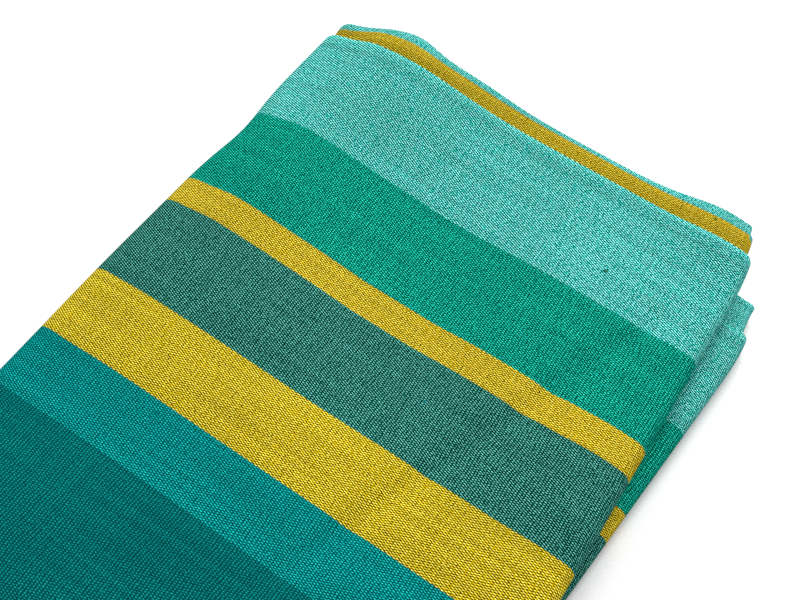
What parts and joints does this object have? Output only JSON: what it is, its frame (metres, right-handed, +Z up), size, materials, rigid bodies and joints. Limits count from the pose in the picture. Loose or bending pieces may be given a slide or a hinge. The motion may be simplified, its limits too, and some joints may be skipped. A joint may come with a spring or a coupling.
{
  "type": "folded striped handwoven cotton cloth",
  "caption": "Cut length of handwoven cotton with wide teal, green, aqua and yellow stripes, folded into a flat packet that lies on a surface.",
  "frame": {"origin": "middle of the folded packet's outline seen from above, on the surface that it lies on", "axes": "+X along the stripes, from the packet's closed left fold to its two right folds; +Y across the stripes, towards the back crease; +Z up"},
  "size_m": [0.2508, 0.362, 0.031],
  "materials": {
    "striped_cotton": "matt handwoven cotton in wide stripes of aqua, emerald, yellow, sage, teal and dark teal"
  },
  "bodies": {
    "root": {"folded_cloth": "striped_cotton"}
  },
  "joints": []
}
